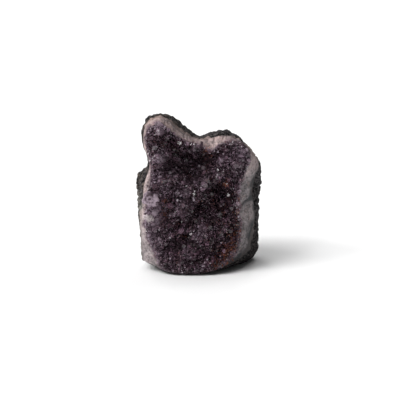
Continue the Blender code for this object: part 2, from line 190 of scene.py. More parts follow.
PALE_AND_GLINT_PLACES = (  # where the druse is paler: paler lilac points, and painted glints in a few small places: (x, z, radius, strength)
    (-47, 186, 8, 0.75), (-48, 181, 6, 0.65), (-57, 84, 7, 1.6), (-51, 78, 7, 0.9), (-62, 69, 5, 3),
    (-56, 67, 7, 2), (8, 112, 4, 1), (25, 141, 4, 0.5), (-5, 115, 4, 0.6), (-15, 101, 7, 0.6),
    (-18, 82, 9, 0.6), (-33, 123, 6, 0.4), (-50, 144, 10, 0.8), (-50, 118, 9, 0.3), (50, 136, 12, 0.45),
    (45, 150, 9, 0.25), (54, 151, 5, 1), (22, 125, 16, 0.2), (5, 57, 7, 0.4), (-7, 46, 6, 0.3),
    (1, 49, 5, 0.3), (-14, 26, 8, 0.3), (-33, 18, 6, 0.3), (-21, 14, 6, 0.3), (-58, 42, 12, 0.6),
    (-47, 72, 9, 0.35), (-46, 140, 7, 0.4), (-52, 26, 9, 0.7), (-45, 50, 14, 0.3), (-48, 115, 20, 0.35),
    (-58, 160, 12, 0.3),
)
DARK_AND_SHADED_PLACES = (  # and where it is darker: deeper purple, and painted shade in the hollows and recesses of the face
    (-50, 166, 10, 0.8), (20, 84, 12, 0.5), (-11, 143, 14, 1), (20, 147, 14, 0.9), (-11, 123, 12, 0.9),
    (-23, 132, 8, 0.9), (26, 99, 12, 1), (7, 87, 9, 0.8), (40, 92, 8, 0.7), (42, 44, 12, 0.6),
    (32, 24, 10, 0.4), (-5, 75, 8, 0.5), (20, 37, 9, 0.4), (-36, 62, 7, 0.4), (-5, 8, 16, 0.35),
    (25, 12, 12, 0.3), (6, 101, 6, 0.5), (36, 99, 7, 0.5), (18, 126, 7, 0.5),
)
SHADES = (  # painted shade in creases and pits of the band
    (50, 82, 3, 0.9), (53.5, 85, 2.5, 0.9), (57, 87, 2.5, 0.8), (61, 87, 3, 0.7), (66, 88, 4, 0.8),
    (59, 53, 6, 0.35), (63, 40, 5, 0.6), (55, 30, 4, 0.2), (54, 70, 4, 0.25), (62, 108, 5, 0.3),
)
STAINS = (  # iron oxide among the points
    (31, 112, 5, 1.3), (48, 96, 5, 0.85), (-42, 89, 5, 0.9), (-42, 76, 5, 0.9), (48, 57, 5, 0.6),
    (43, 46, 8, 0.72), (38, 33, 8, 0.82), (33, 20, 8, 0.68), (23, 14, 7, 0.55), (-18, 43, 5, 0.6),
    (29, 74, 4, 0.5), (1, 89, 4, 0.5), (9, 151, 5, 0.6), (46, 75, 4, 0.5),
)
RUST_EVERYWHERE = 0.13
CAMERA_PLACE = (0.00125, -1.3210, 0.5124)  # metres
CAMERA_ELEVATION = math.radians(18)
LENS = 100
SENSOR_WIDTH = 36
FLOOR_SIZE = 30  # metres
FLOOR_DROP = 0.0001
FULL_TURN = 2 * math.pi
LIGHTS = (  # a bank of soft lamps: (direction towards it, strength)
    ((-0.74, -0.2, 0.64), 1.01), ((-0.53, -0.31, 0.79), 0.69), ((-0.42, -0.14, 0.9), 0.57),
    ((-0.62, 0.0, 0.79), 0.35), ((-0.54, -0.54, 0.64), 0.32), ((-0.26, -0.35, 0.9), 0.15),
    ((-0.12, 0.21, 0.97), 0.42), ((0.26, 0.35, 0.9), 0.3), ((0.0, 0.44, 0.9), 0.11),
    ((0.2, 0.74, 0.64), 0.43), ((-0.53, 0.31, 0.79), 0.26), ((-0.45, 0.78, 0.42), 0.41),
)
LAMP_SPREAD = 15  # degrees across
SURROUND = 0.05
PORE_SPACING = 4.6  # of the basalt
QUARTZ_IOR = 1.544
ABSORPTION = 160.0  # of the amethyst, per metre
COLOURS = {  # linear red, green and blue
    "floor": (0.92, 0.92, 0.92),
    "grey rock": (0.128, 0.114, 0.128),
    "brown rock": (0.215, 0.16, 0.125),
    "dark rock": (0.01, 0.01, 0.011),
    "painted crease and pore shade": (0.003, 0.003, 0.003),
    "shaded rock": (0.002, 0.002, 0.002),
    "rock dust": (0.34, 0.32, 0.29),
    "rock grain": (0.17, 0.155, 0.15),
    "cool coat": (0.36, 0.35, 0.35),
    "warm coat": (0.46, 0.34, 0.31),
    "dark coat": (0.05, 0.045, 0.045),
    "coat pit shade": (0.07, 0.06, 0.055),
    "cool quartz": (0.6, 0.56, 0.59),
    "warm quartz": (0.67, 0.48, 0.45),
    "brown streak": (0.2, 0.13, 0.12),
    "quartz cloud": (0.2, 0.15, 0.16),
    "black quartz": (0.006, 0.006, 0.007),
    "grey quartz": (0.17, 0.157, 0.163),
    "quartz pit shade": (0.08, 0.06, 0.065),
    "quartz fleck": (0.8, 0.72, 0.72),
    "rim_dark_and_crease_shade": (0.02, 0.021, 0.024),
    "dark edge": (0.05, 0.028, 0.045),
    "lilac edge": (0.24, 0.15, 0.2),
    "deep bed": (0.038, 0.019, 0.027),
    "lilac bed": (0.61, 0.48, 0.57),
    "darkest point": (0.016, 0.006, 0.009),
    "purple point": (0.32, 0.175, 0.25),
    "lilac point": (0.32, 0.2, 0.28),
    # the palest points, and the colour of the painted glints
    "clear point and glint": (1.0, 0.85, 0.97),
    "dull milk": (0.3, 0.23, 0.24),
    "milk": (0.58, 0.48, 0.48),
    "point cloud": (0.016, 0.007, 0.009),
    # painted glints, as small flecks
    "point glint fleck": (0.66, 0.5, 0.64),
    "light let through": (0.62, 0.36, 0.56),
    "dark rust": (0.022, 0.006, 0.004),
    "rust": (0.27, 0.07, 0.026),
}

# ---- noise


def hashed(cell):
    """A number from -1 to 1 for each whole-numbered cell: the fraction of a large multiple of a sine."""
    mixed = np.sin(cell @ np.array([127.1, 311.7, 74.7])) * 43758.5453
    return 2 * (mixed - np.floor(mixed)) - 1


def unit(vectors):
    """The same directions, one long."""
    return vectors / np.linalg.norm(vectors, axis=-1, keepdims=True)


def swell(points, size):
    """Smooth noise from -1 to 1: the cells' numbers, blended between the eight nearest corners."""
    place = points / size
    corner = np.floor(place)
    share = place - corner
    share = share * share * (3 - 2 * share)
    total = np.zeros(len(points))
    for step in np.ndindex(2, 2, 2):
        weight = np.prod(np.where(step, share, 1 - share), axis=1)
        total += weight * hashed(corner + step)
    return total


def lumps(points, size):
    """Rounded lumps, from 0 in the creases to 1: one less the squared distance, in cubes of this size,
    to the nearest of the centres that are strewn one to a cube."""
    place = points / size
    corner = np.floor(place)
    nearest = np.ones(len(points))
    for step in np.ndindex(3, 3, 3):
        cell = corner + step - 1
        centre = np.stack([hashed(cell + shift) for shift in (0, 17, 41)], axis=1)
        nearest = np.minimum(nearest, ((place - cell - 0.5 - 0.45 * centre) ** 2).sum(axis=1))
    return 1 - nearest


def smooth_step(share):
    """0 below 0, 1 above 1, and 3 s^2 - 2 s^3 between."""
    share = np.clip(share, 0, 1)
    return share * share * (3 - 2 * share)


def ragged_edge(points, broad, fine):
    """Millimetres that an edge wanders by: broad noise 5 mm across and fine noise 2 mm across."""
    return broad * swell(points, 5.0) + fine * swell(points, 2.0)


def patches(x, z, places):
    """The sum of strength * exp(-(distance / radius)^2) over these places: (x, z, radius, strength)."""
    return sum(
        strength * np.exp(-((x - place_x) ** 2 + (z - place_z) ** 2) / radius**2)
        for place_x, place_z, radius, strength in places
    )


def round_band(angle, column):
    """One column of the band's finish, by straight lines between its places round the band."""
    finish = np.array(BAND_FINISH)
    return np.interp(np.degrees(angle), finish[:, 0], finish[:, column], period=360)


# ---- the surfaces of the solids, continuous


def smooth_loop(points, steps=24):
    """Points along the closed Catmull-Rom curve through the given ones."""
    corners = np.array(points, float)
    before, after, beyond = (np.roll(corners, shift, 0) for shift in (1, -1, -2))
    t = (np.arange(steps) / steps)[None, :, None]
    curve = 0.5 * (
        2 * corners[:, None]
        + (after - before)[:, None] * t
        + (2 * before - 5 * corners + 4 * after - beyond)[:, None] * t**2
        + (3 * corners - before - 3 * after + beyond)[:, None] * t**3
    )
    return curve.reshape(-1, 3)


def loop_at(points, angle):
    """(radius, y) of a loop at each angle about the axis line."""
    x, y, z = smooth_loop(points).T
    along, radius = about_axis(x, z)
    return tuple(np.interp(angle, along, values, period=FULL_TURN) for values in (radius, y))


def about_axis(x, z):
    """(angle, radius) about the axis line, the angle clockwise from straight up."""
    return np.arctan2(x, z - AXIS_HEIGHT), np.hypot(x, z - AXIS_HEIGHT)


def on_axis(angle, radius, y):
    """(r sin a, y, h + r cos a): the point at angle a and radius r about the axis line at height h."""
    return np.c_[radius * np.sin(angle), y, AXIS_HEIGHT + radius * np.cos(angle)]


def eased(share):
    """sin(90 degrees * share)."""
    return np.sin(0.5 * math.pi * np.clip(share, 0, 1))


def bowl(share, bend):
    """(1 - share^bend)^(1/bend): a quarter of a superellipse, from 1 down to 0."""
    return np.maximum(1 - share**bend, 0) ** (1 / bend)


def dish(x, z, share, edge_y, knobs=0.0):
    """y of the face: front depth + (edge - front depth) * share^2, with knolls that fade outwards."""
    raised = (patches(x, z, KNOLLS) + knobs) * (1 - share**KNOLL_FADE)
    return FRONT_DEPTH + (edge_y - FRONT_DEPTH) * share**2 - raised


def crystal_face(angle, share):
    """The face that the tips reach."""
    edge_radius, edge_y = loop_at(POINTS_EDGE, angle)
    face = on_axis(angle, edge_radius * share, edge_y)
    face[:, 1] = dish(face[:, 0], face[:, 2], share, edge_y)
    return face


def between(angle, first, second, share, bulge):
    """Straight from one loop to another by the share, proud by bulge * sin(180 degrees * share)."""
    start, end = (np.array(loop_at(loop, angle)) for loop in (first, second))
    radius, y = start + (end - start) * share
    proud = bulge * np.sin(math.pi * share)
    return on_axis(angle, radius + proud, y - 0.5 * proud)


def behind(angle, loop, depth, share, bend, gap=0.0, egg_limit=math.inf):
    """From a loop back to a pole: the loop's radius, blended to an egg's by share^2, times the bowl."""
    radius, y = loop_at(loop, angle)
    half_width, above, below = BACK_EGG
    height = np.where(np.cos(angle) > 0, above, below)
    egg = 1 / np.hypot(np.sin(angle) / half_width, np.cos(angle) / height)
    radius = radius + (np.minimum(egg, egg_limit) - radius) * share**2
    return on_axis(angle, (radius + gap) * bowl(share, bend), y + (depth + gap - y) * share)


def seat(angle, share, gap):
    """The back of the crust, from the rim (share 0) to its deepest point (share 1), or a gap behind it."""
    return behind(angle, RIM, SEAT_DEPTH, eased(share), SEAT_BEND, gap, egg_limit=SEAT_EGG)


def chipped(points, share):
    """Stone beyond each broken face's plane, taken back to it by a share of the way."""
    for facing, distance in CHIPS:
        normal = unit(np.array(facing))
        beyond = np.maximum((points - MIDDLE) @ normal - distance, 0)
        points = points - (share * beyond)[:, None] * normal
    return points


def sawn(points):
    """Points under the floor, drawn up their own meridian to z = 0: x shrinks by h / (h - z)."""
    under = np.minimum(points[:, 2], 0.0)
    shrink = AXIS_HEIGHT / (AXIS_HEIGHT - under)
    return np.c_[points[:, 0] * shrink, points[:, 1], points[:, 2] - under]


def front_share(x, z):
    """(angle, share, beyond): share runs 0 to 1 over the crystal face and 1 to 2 over the band, and beyond
    is how far outside the edge of the points a place is."""
    angle, radius = about_axis(x, z)
    edge_radius, _ = loop_at(POINTS_EDGE, angle)
    rim_radius, _ = loop_at(RIM, angle)
    band_share = (radius - edge_radius) / np.maximum(rim_radius - edge_radius, LEAST_BAND)
    share = np.where(band_share > 0, 1 + band_share, radius / edge_radius)
    beyond = np.where(radius < rim_radius - 0.5, radius - edge_radius, math.inf)
    return angle, share, beyond


def knobs_at(x, z):
    """Lumps of the knobs' width in the plane of the face, from 0 in the creases to 1, a little warped."""
    flat = np.c_[x, np.zeros(len(x)), z]
    return lumps(flat + 2.0 * swell(flat, 9.0)[:, None], KNOB_WIDTH)


def front_at(x, z):
    """(point, outward normal) of the front: the crystal face bunched into knobs, and straight on over the
    band. The normal is (dy/dx, -1, dy/dz), by differences."""
    nudge = 0.4

    def depth(x, z):
        """y of the front."""
        angle, share, _ = front_share(x, z)
        _, edge_y = loop_at(POINTS_EDGE, angle)
        _, rim_y = loop_at(RIM, angle)
        knobs = KNOB_PROUD * (knobs_at(x, z) - KNOB_LEVEL)
        face_y = dish(x, z, np.minimum(share, 1), edge_y, knobs)
        return face_y + (rim_y - edge_y) * np.clip(share - 1, 0, 1)

    y = depth(x, z)
    normal = np.c_[depth(x + nudge, z) - y, np.full(len(x), -nudge), depth(x, z + nudge) - y]
    return np.c_[x, y, z], unit(normal)


# ---- meshes


def linked(name, data):
    """A new object in the scene."""
    thing = bpy.data.objects.new(name, data)
    bpy.context.scene.collection.objects.link(thing)
    return thing


def new_piece(name, mesh, material, nodes):
    """Links a mesh as a piece that rides with the chunk and stands for these solids."""
    mesh.materials.append(material)
    piece = linked(name, mesh)
    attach(piece, "root")
    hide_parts(*nodes)


def filled_mesh(name, corners, faces, attributes):
    """A mesh from arrays: corners in millimetres, faces as index lists, and a number per corner by name."""
    mesh = bpy.data.meshes.new(name)
    mesh.from_pydata(corners * MM, [], faces)
    for label, values in attributes.items():
        mesh.attributes.new(label, "FLOAT", "POINT").data.foreach_set("value", values.astype(np.float32))
    mesh.update()
    return mesh


def ringed_skin(name, skin, columns, attributes):
    """A closed skin from rings of so many points each, of which the first and the last ring are poles.

    Ring i, column j joins ring i + 1 and column j + 1, and the poles close with fans of triangles.
    """
    index = 1 + np.arange(len(skin) - 2 * columns).reshape(-1, columns)
    onward = np.roll(index, -1, axis=1)
    quads = np.stack([index[:-1], onward[:-1], onward[1:], index[1:]], axis=-1).reshape(-1, 4)
    front = np.c_[np.zeros(columns, int), onward[0], index[0]]
    back = np.c_[np.full(columns, index[-1, -1] + 1), index[-1], onward[-1]]
    kept = np.r_[0, columns : len(skin) - columns + 1]
    attributes = {label: values[kept] for label, values in attributes.items()}
    mesh = filled_mesh(name, skin[kept], quads.tolist() + front.tolist() + back.tolist(), attributes)
    mesh.shade_smooth()
    return mesh


def meridians(ring_count):
    """(angle, ring number) for every corner of a skin, flat."""
    angle = FULL_TURN * np.arange(COLUMNS) / COLUMNS - math.pi
    return np.tile(angle, ring_count), np.repeat(np.arange(float(ring_count)), COLUMNS)


def pieced(*stretches):
    """Each point from the first stretch whose condition it meets."""
    conditions, points = zip(*stretches)
    return np.select([holds[:, None] for holds in conditions], points)


def basalt_skin(material):
    """The rind: seat, then lip from rim to girth, then back. Swells and lumps stand out along the ray from
    the chunk's middle, flatter under the pale coat, and the foot is sawn off at the floor."""
    angle, ring = meridians(SEAT_RINGS + LIP_RINGS + BACK_RINGS + 1)
    lip_share = np.clip((ring - SEAT_RINGS) / LIP_RINGS, 0, 1)
    back_share = np.clip((ring - SEAT_RINGS - LIP_RINGS) / BACK_RINGS, 0, 1)
    skin = pieced(
        (ring <= SEAT_RINGS, seat(angle, 1 - ring / SEAT_RINGS, LINING_GAP * (ring < SEAT_RINGS))),
        (back_share <= 0, between(angle, RIM, GIRTH, lip_share, LIP_BULGE)),
        (back_share > 0, behind(angle, GIRTH, BACK_DEPTH, eased(back_share), BACK_BEND)),
    )
    to_back = np.clip(2 * back_share, 0, 1)
    skin = chipped(skin, CHIP_SHARE * to_back)
    outwards = unit(skin - MIDDLE)
    swells = sum(proud * swell(skin, across) for across, proud in SWELLS)
    swells *= lip_share * (SWELL_AT_GIRTH + (1 - SWELL_AT_GIRTH) * to_back)
    bend_width, bend = LUMP_WANDER
    bent = skin + bend * np.stack([swell(skin + shift, bend_width) for shift in (0, 31, 57)], axis=1)
    relief = sum(proud * (lumps(bent, across) - LUMP_LEVEL) for across, proud in LUMPS)
    rim_radius, rim_y = loop_at(RIM, angle)
    girth_radius, girth_y = loop_at(GIRTH, angle)
    from_rim = lip_share * np.hypot(girth_radius - rim_radius, girth_y - rim_y) + BACK_REACH * back_share
    coated = smooth_step((round_band(angle, COAT) - from_rim) / COAT_FADE + 0.5)
    coated *= smooth_step(0.5 - np.cos(angle))
    relief *= smooth_step(lip_share / LUMP_FADE) * (1 - COAT_CALM * coated)
    skin = sawn(skin + outwards * (swells + relief)[:, None])
    deep, from_height = UNDERCUT
    skin[:, 1] += deep * smooth_step(1 - skin[:, 2] / from_height) * smooth_step(-skin[:, 1] / 20)
    ragged = ragged_edge(skin, 2.2, 1.2)
    attributes = {
        "height": 0.55 + relief / 4,
        "coat": smooth_step((round_band(angle, COAT) - from_rim + ragged) / 2.5) * (ring >= SEAT_RINGS),
        "paleness": round_band(angle, PALENESS),
        "warmth": round_band(angle, WARMTH),
        "rock_shade_and_dust": 1 + (round_band(angle, ROCK_SHADE_AND_DUST) - 1) * (1 - to_back),
    }
    mesh = ringed_skin("basalt_skin", skin, COLUMNS, attributes)
    new_piece("basalt_skin", mesh, material, ["basalt_rind"])


def quartz_roots(material):
    """The crust without its points: the bed they stand on, the band of columns round it and the seat.

    The columns are noise stretched along the share of the way from the points' edge to the rim.
    """
    angle, ring = meridians(FACE_RINGS + BAND_RINGS + SEAT_RINGS + 1)
    face_share = np.clip(ring / FACE_RINGS, 0, 1)
    band_share = np.clip((ring - FACE_RINGS) / BAND_RINGS, 0, 1)
    seat_share = np.clip((ring - FACE_RINGS - BAND_RINGS) / SEAT_RINGS, 0, 1)
    around = BAND_RADIUS / STREAK_WIDTH
    column_place = np.c_[around * np.sin(angle), around * np.cos(angle), 1.3 * band_share]
    wobble = 0.8 * swell(column_place * 0.35 + 9.0, 1.0)[:, None]
    streak = 0.65 * swell(column_place + wobble, 1.0) + 0.35 * swell(2.3 * column_place, 1.0)
    streak *= round_band(angle, COLUMN_CLARITY)
    bed = crystal_face(angle, face_share)
    bed[:, 1] += BED_DEPTH * (1 - face_share**KNOLL_FADE)
    across, proud = BAND_LUMPS
    knobs = lumps(bed + (0, 0, 7.0) * band_share[:, None], across) - BAND_LUMP_LEVEL
    rough = STREAK_PROUD * streak + proud * knobs
    skin = pieced(
        (ring <= FACE_RINGS, bed),
        (seat_share <= 0, between(angle, POINTS_EDGE, RIM, band_share, BAND_BULGE + rough)),
        (seat_share > 0, seat(angle, seat_share, 0.0)),
    )
    x, _, z = skin.T
    _, radius = about_axis(x, z)
    edge_radius, _ = loop_at(POINTS_EDGE, angle)
    rim_radius, _ = loop_at(RIM, angle)
    ragged = ragged_edge(skin, 1.6, 0.9)
    rim_dark_and_crease_shade = 0.5 + (radius - rim_radius + round_band(angle, RIM_DARK) + 1.5 * ragged) / 6
    attributes = {
        "purple": np.clip(0.5 - (radius - edge_radius - round_band(angle, REACH) + ragged) / 9, 0, 1),
        "streak": 0.5 + 0.5 * streak,
        "paleness": round_band(angle, PALENESS),
        "warmth": round_band(angle, WARMTH),
        # darker towards the rim, plus painted shade in the band's creases and pits
        "rim_dark_and_crease_shade": np.clip(rim_dark_and_crease_shade, 0, 1) + patches(x, z, SHADES),
        "lilac": 0.7 * np.clip(patches(x, z, PALE_AND_GLINT_PLACES) - 0.4, 0, 1),
        "rust": rust_at(skin),
    }
    mesh = ringed_skin("quartz_roots", skin, COLUMNS, attributes)
    new_piece("quartz_roots", mesh, material, ["quartz_crust"])


def rust_at(points):
    """How rusty each point is, 0 to 1: a little everywhere and the stains, broken up by noise."""
    stained = patches(points[:, 0], points[:, 2], STAINS) * (0.5 + 1.5 * swell(points, 2.2))
    return np.clip(RUST_EVERYWHERE + 0.12 * swell(points, 9.0) + stained, 0, 1)


# ---- crystals


def cut_crystal(number):
    """(corners, triangles) of a six-sided point, 1 across flats, its shoulder at z = 0 and its root below.

    It is the space inside thirteen planes: six sides, six tip faces at 51.8 degrees, every other one
    larger, and the foot. Its corners are where three planes meet inside all the others.
    """
    draw = np.random.default_rng(FIRST_CUT + number)
    turn = math.pi / 3 * np.arange(6)
    slope = math.atan(POINT_STEEPNESS)
    sides = np.c_[np.cos(turn), np.sin(turn), np.zeros(6)]
    tips = math.sin(slope) * sides + (0, 0, math.cos(slope))
    height = 0.5 * POINT_STEEPNESS
    varied = 1 + draw.uniform(-TIP_VARIES, TIP_VARIES, 6)
    varied += np.arange(6) % 2 * draw.uniform(*MINOR_TIPS)
    normals = np.concatenate([sides, tips, [[0, 0, -1]]])
    side_distance = 0.5 * draw.uniform(*SIDE_VARIES, 6)
    distances = np.concatenate([side_distance, math.cos(slope) * height * varied, [ROOT_LENGTH]])
    triples = np.array([(a, b, c) for a in range(13) for b in range(a) for c in range(b)])
    planes = normals[triples]
    meet = np.abs(np.linalg.det(planes)) > 1e-3
    corners = np.linalg.solve(planes[meet], distances[triples[meet]][..., None])[..., 0]
    inside = (corners @ normals.T <= distances + 1e-6).all(axis=1)
    corners = np.unique(corners[inside].round(5), axis=0)
    mesh = bpy.data.meshes.new("cut crystal")
    mesh.from_pydata(corners, [], [])
    hull = bmesh.new()
    hull.from_mesh(mesh)
    bmesh.ops.convex_hull(hull, input=hull.verts)
    bmesh.ops.triangulate(hull, faces=hull.faces)
    bmesh.ops.recalc_face_normals(hull, faces=hull.faces)
    hull.to_mesh(mesh)
    hull.free()
    triangles = np.zeros(len(mesh.loops), np.int32)
    mesh.loops.foreach_get("vertex_index", triangles)
    bpy.data.meshes.remove(mesh)
    return corners, triangles.reshape(-1, 3)


def grown_points(name, feet, axes, widths, shoulders, looks, material):
    """Crystals joined in one mesh: corner = foot + width * (x side + y up) + (shoulder + width z) axis.

    Each takes one of the cut shapes and a spin of its own about its axis, and is lifted clear of the floor.
    looks holds a number per crystal by name.
    """
    count = len(feet)
    draw = np.random.default_rng(count)
    spin = draw.uniform(0, math.pi / 3, count)
    axes = unit(axes)
    level = unit(np.cross(axes, [0.31, 0.2, 0.93]))
    upright = np.cross(axes, level)
    side = np.cos(spin)[:, None] * level + np.sin(spin)[:, None] * upright
    up = np.cross(axes, side)
    shape_of = draw.integers(0, POINT_SHAPES, count)
    corners, triangles, owners, start = [], [], [], 0
    for number in range(POINT_SHAPES):
        cut, faces = cut_crystal(number)
        chosen = np.flatnonzero(shape_of == number)
        width = widths[chosen, None, None]
        placed = (
            feet[chosen, None]
            + width * (cut[:, :1] * side[chosen, None] + cut[:, 1:2] * up[chosen, None])
            + (shoulders[chosen, None, None] + width * cut[:, 2:]) * axes[chosen, None]
        )
        placed[..., 2] += np.maximum(FLOOR_GAP - placed[..., 2].min(axis=1), 0)[:, None]
        corners.append(placed.reshape(-1, 3))
        offset = start + len(cut) * np.arange(len(chosen))
        triangles.append((faces + offset[:, None, None]).reshape(-1, 3))
        owners.append(np.repeat(chosen, len(cut)))
        start += placed.shape[0] * placed.shape[1]
    corners = np.concatenate(corners)
    owners = np.concatenate(owners)
    attributes = {label: values[owners] for label, values in looks.items()}
    attributes["rust"] = rust_at(corners)
    mesh = filled_mesh(name, corners, np.concatenate(triangles).tolist(), attributes)
    new_piece(name, mesh, material, ["quartz_crust"])


def point_looks(x, z, draw):
    """Numbers for the material: tone 0 dark to 1 light, darkened by painted shade in the hollows and
    in the creases between the knobs, pale towards lilac, milky over the band.
    """
    angle, _, beyond = front_share(x, z)
    count = len(x)
    past = beyond - round_band(angle, REACH)
    # deeper purple, and painted shade in the hollows and recesses
    dark = np.clip(patches(x, z, DARK_AND_SHADED_PLACES), 0, 1)
    light = np.clip(patches(x, z, PALE_AND_GLINT_PLACES), 0, 1)
    edge = smooth_step(past / 7 + 1)
    pale = np.clip(light * draw.uniform(0.4, 1.0, count) + 0.6 * edge * draw.uniform(0.4, 1.0, count), 0, 1)
    tone_and_shade = draw.uniform(0, 1, count) ** DARK_FAVOUR * (1 - 0.75 * dark)
    # painted shade in the creases between the knobs
    tone_and_shade *= 0.45 + 0.85 * smooth_step((knobs_at(x, z) - 0.5) / 0.4)
    tone_and_shade = np.maximum(tone_and_shade, np.clip(light - 0.5, 0, 0.8) * draw.uniform(0.5, 1.0, count))
    milky = smooth_step(past / 5 + 0.75) * round_band(angle, PALENESS) * draw.uniform(0.4, 1, count)
    return {"tone_and_shade": tone_and_shade, "pale": pale, "milky": milky}


def large_points(material):
    """The large points, at the places that the solid has them and a little slimmer."""
    narrow, wide = SPIRAL_WIDTHS
    number = np.arange(SPIRAL_POINTS)
    angle = GOLDEN_ANGLE * number
    reach = SPIRAL_REACH * np.sqrt((number + 0.5) / SPIRAL_POINTS)
    edge_radius, _ = loop_at(POINTS_EDGE, np.mod(angle + math.pi, FULL_TURN) - math.pi)
    spiral_width = narrow + (wide - narrow) * (0.5 + 0.5 * hashed(number[:, None] * np.ones(3)))
    spiral = on_axis(angle, edge_radius * reach, spiral_width)[:, [0, 2, 1]]  # (x, z, width)
    x, z, width = np.concatenate([LARGE_POINTS, spiral]).T
    width = LARGE_SHRINK * width
    foot, normal = front_at(x, z)
    cells = np.c_[np.arange(len(x)), 0 * x, 0 * x]
    lean = np.stack([hashed(cells + shift) for shift in ((0, 1, 0), (0, 0, 1), (0, 1, 1))], axis=1)
    looks = point_looks(x, z, np.random.default_rng(5))
    looks["pale"] = LARGE_PALE * looks["pale"]
    shoulder = POINT_STAND * width - LARGE_SINK
    clear = clear_of_rosettes(x, z)
    looks = {label: values[clear] for label, values in looks.items()}
    axes = (normal + POINT_LEAN * lean)[clear]
    grown_points("large_points", foot[clear], axes, width[clear], shoulder[clear], looks, material)
    return x, z, width


def rosettes(material):
    """Knobs of banded quartz: flattened balls, ringed about an eye up and to the left of the middle.

    Paleness dips to dark in the eye and in a ring half a radius from it. The ring is deepest on the upper
    left and fades on the other side, and both wander with noise. Painted shading makes each ball lighter
    towards the lower right and darker towards the upper left.
    """
    turn = FULL_TURN * np.arange(ROSETTE_SPOKES) / ROSETTE_SPOKES
    polar = math.pi * np.arange(ROSETTE_RINGS + 1) / ROSETTE_RINGS
    polar, turn = (grid.ravel() for grid in np.meshgrid(polar, turn, indexing="ij"))
    around = np.sin(polar)
    ball = np.c_[around * np.sin(turn), -ROSETTE_STAND * np.cos(polar), around * np.cos(turn)]
    for number, (x, z, radius, paleness, purple) in enumerate(ROSETTES, 1):
        foot, _ = front_at(np.array([x]), np.array([z]))
        place = radius * ball + 20 * number
        wavy = 0.13 * swell(place, 4.5) + 0.05 * swell(place, 1.8)
        across, up = ball[:, 0] - ROSETTE_EYE[0], ball[:, 2] - ROSETTE_EYE[1]
        from_eye = np.hypot(across, up) + wavy
        upper_left = 0.5 + 0.5 * (up - across) / (1.42 * np.hypot(across, up) + 0.01)
        ring = np.exp(-(((from_eye - 0.5) / 0.13) ** 2)) * (0.25 + 0.75 * upper_left)
        eye = np.exp(-((from_eye / 0.16) ** 2))
        mottled = 0.45 * swell(place, 3.4) + 0.5 * swell(place, 1.4)
        # painted shading: lighter towards the lower right and darker towards the upper left
        band = np.clip(0.66 + 0.25 * (across - up) - ring - 0.5 * eye + mottled, 0, 1)
        skin = foot + (0, ROSETTE_SINK, 0) + radius * ball * (1 + 0.05 * band + 1.5 * wavy)[:, None]
        one = np.ones(len(skin))
        attributes = {
            "purple": purple * one,
            "lilac": paleness * (0.1 + 0.9 * band),
            "streak": 0.5 + 0.5 * band,
            "paleness": one,
            "warmth": 0.3 * one,
            "rim_dark_and_crease_shade": 0 * one,
            "rust": 0 * one,
        }
        mesh = ringed_skin(f"rosette_{number}", skin, ROSETTE_SPOKES, attributes)
        new_piece(f"rosette_{number}", mesh, material, ["quartz_crust"])


def clear_of_rosettes(x, z):
    """Which of the places in the plane of the face lie outside the rosettes."""
    middle_x, middle_z, radius = np.array(ROSETTES)[:, :3].T
    distance = np.hypot(x[:, None] - middle_x, z[:, None] - middle_z)
    return (distance > ROSETTE_CLEAR * radius).all(axis=1)


def strewn(spacing, draw):
    """(x, z) of a lattice of equal triangles over the whole front, each place nudged at random."""
    row_step = spacing * math.sqrt(0.75)
    across = np.arange(-FRONT_WIDTH / 2, FRONT_WIDTH / 2, spacing)
    rows, places = np.meshgrid(np.arange(0, FRONT_HEIGHT / row_step), across, indexing="ij")
    x = (places + 0.5 * spacing * (rows % 2)).ravel()
    z = (rows * row_step).ravel()
    return x + spacing * draw.uniform(-0.45, 0.45, len(x)), z + spacing * draw.uniform(-0.45, 0.45, len(z))


def small_points(name, spacing, widths, first_share, seed, taken, material):
    """Small points strewn over the front from a share of the way out, none inside a large one. They shrink
    towards the edge, and their tips reach the face, give or take the lift."""
    draw = np.random.default_rng(seed)
    x, z = strewn(spacing, draw)
    angle, share, beyond = front_share(x, z)
    large_x, large_z, large_width = taken
    distance = np.hypot(x[:, None] - large_x, z[:, None] - large_z)
    free = (distance > POINT_CLEARANCE * large_width).all(axis=1) & clear_of_rosettes(x, z)
    free &= beyond < round_band(angle, REACH) + draw.uniform(*EDGE_SPILL, len(x))
    free &= share > first_share + 0.05 * draw.uniform(-1, 1, len(x))
    x, z, share = x[free], z[free], share[free]
    foot, normal = front_at(x, z)
    narrow, wide = widths
    width = narrow + (wide - narrow) * draw.uniform(0, 1, len(x)) ** 2
    width *= 1 - EDGE_SHRINK * smooth_step((share - 0.88) / 0.3)
    lean = SMALL_LEAN * draw.uniform(-1, 1, (len(x), 3))
    tip = 0.5 * POINT_STEEPNESS * width
    lift = SMALL_LIFT * (1 - 0.5 * smooth_step((share - 0.9) / 0.1))
    shoulder = lift * draw.uniform(-1, 1, len(x)) + 0.3 * (width - narrow) - tip
    shoulder += 0.5 * width * smooth_step((share - 0.8) / 0.2)
    shoulder += 1.3 * BAND_BULGE * np.sin(math.pi * np.clip(share - 1, 0, 1))
    looks = point_looks(x, z, draw)
    # painted glints: some narrow small points on the knobs made the lightest and palest
    painted_glints = (draw.uniform(0, 1, len(x)) < GLINT_SHARE) & (knobs_at(x, z) > 0.7) & (width < GLINT_WIDTH)
    looks["tone_and_shade"][painted_glints] = 1.0
    looks["pale"][painted_glints] = 1.0
    grown_points(name, foot, normal + SMALL_DROOP + lean, width, shoulder, looks, material)


# ---- shader node groups


def colour(name):
    """(red, green, blue, 1) of a named colour."""
    return (*COLOURS[name], 1)


